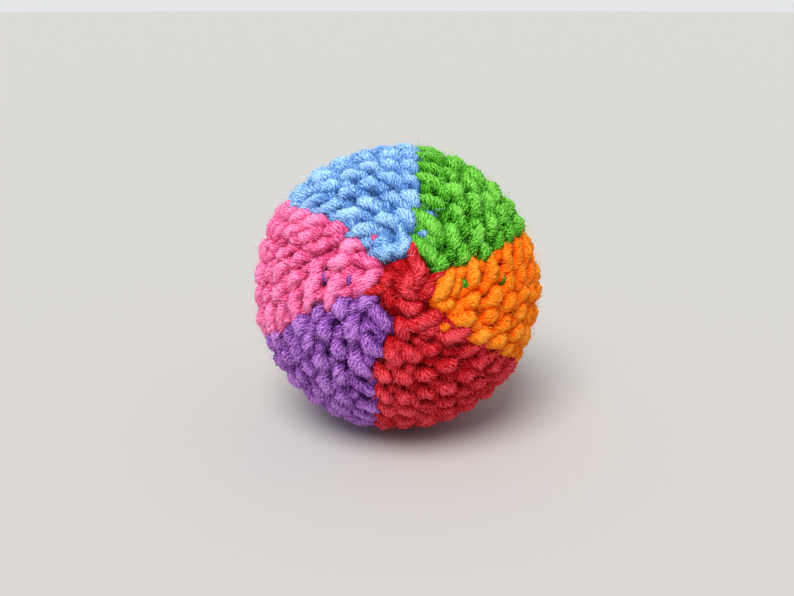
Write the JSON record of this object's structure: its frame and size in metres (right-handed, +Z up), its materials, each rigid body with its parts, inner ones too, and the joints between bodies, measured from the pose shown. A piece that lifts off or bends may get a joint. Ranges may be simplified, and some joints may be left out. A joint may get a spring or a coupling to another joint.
{
  "type": "crocheted ball",
  "caption": "Soft play ball worked in single crochet, with a wedge of each of several yarn colours from pole to pole round a fibre filling.",
  "frame": {"origin": "centre of the flattened spot that the ball lies on, under the ball's centre", "axes": "+Z up from the surface that the ball lies on; -Y towards the viewer, where the pole of the start ring faces; +X to the viewer's right"},
  "size_m": [0.0699, 0.0698, 0.0689],
  "materials": {
    "green_yarn": "green worsted yarn in single crochet, matt with a soft halo of loose fibres",
    "orange_yarn": "orange worsted yarn in single crochet, matt with a soft halo of loose fibres",
    "red_yarn": "red worsted yarn in single crochet, matt with a soft halo of loose fibres",
    "purple_yarn": "purple worsted yarn in single crochet, matt with a soft halo of loose fibres",
    "pink_yarn": "pink worsted yarn in single crochet, matt with a soft halo of loose fibres",
    "blue_yarn": "blue worsted yarn in single crochet, matt with a soft halo of loose fibres",
    "fibre_filling": "off-white loose polyester fibre"
  },
  "bodies": {
    "root": {"green_panel": "green_yarn", "orange_panel": "orange_yarn", "red_panel": "red_yarn", "purple_panel": "purple_yarn", "pink_panel": "pink_yarn", "blue_panel": "blue_yarn", "closing_round": "red_yarn", "start_round": "red_yarn", "closing_tail": "red_yarn", "start_tail": "red_yarn", "filling": "fibre_filling"}
  },
  "joints": []
}
